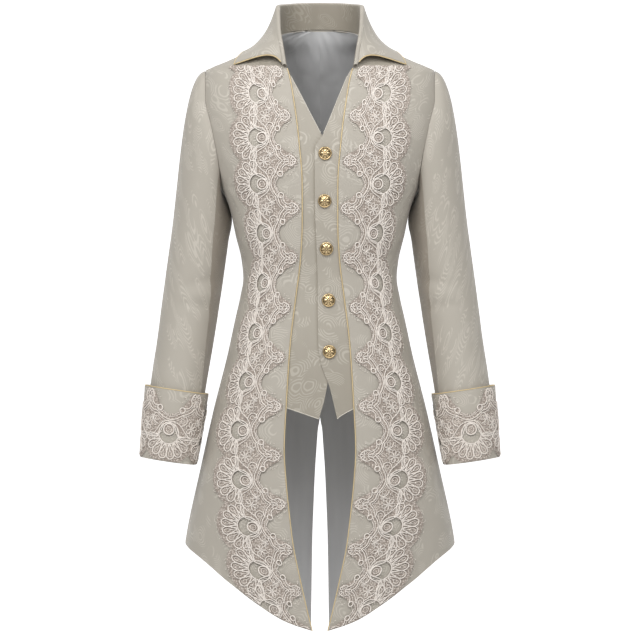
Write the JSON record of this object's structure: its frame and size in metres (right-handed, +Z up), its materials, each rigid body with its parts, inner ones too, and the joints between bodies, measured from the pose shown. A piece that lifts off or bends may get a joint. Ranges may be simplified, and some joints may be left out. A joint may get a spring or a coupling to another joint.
{
  "type": "tailcoat",
  "caption": "Long tailcoat with a cutaway front, turn-down collar, turned-back cuffs, lace borders and a buttoned false waistcoat, filled out as if worn.",
  "frame": {"origin": "on the middle line between the shoulders, at the height where the shoulders meet the neck", "axes": "+Z up, -Y to the front of the coat, +X to the viewer's right as one faces the coat"},
  "size_m": [0.61, 0.2817, 1.0744],
  "materials": {
    "coat_cloth": "satin",
    "vest_cloth": "satin",
    "lining": "satin",
    "lace": "matte",
    "piping": "satin",
    "button_metal": "satin"
  },
  "bodies": {
    "root": {"front_left": "coat_cloth", "back_left": "coat_cloth", "back_lining_left": "lining", "sleeve_upper_left": "coat_cloth", "sleeve_under_left": "coat_cloth", "cuff_left": "coat_cloth", "cuff_lace_front_left": "lace", "cuff_lace_back_left": "lace", "piping_cuff_left": "piping", "vest_left": "vest_cloth", "piping_front_left": "piping", "lace_front_left": "lace", "front_right": "coat_cloth", "back_right": "coat_cloth", "back_lining_right": "lining", "sleeve_upper_right": "coat_cloth", "sleeve_under_right": "coat_cloth", "cuff_right": "coat_cloth", "cuff_lace_front_right": "lace", "cuff_lace_back_right": "lace", "piping_cuff_right": "piping", "vest_right": "vest_cloth", "piping_front_right": "piping", "lace_front_right": "lace", "collar": "coat_cloth", "piping_collar": "piping", "button_1": "button_metal", "button_2": "button_metal", "button_3": "button_metal", "button_4": "button_metal", "button_5": "button_metal"}
  },
  "joints": []
}
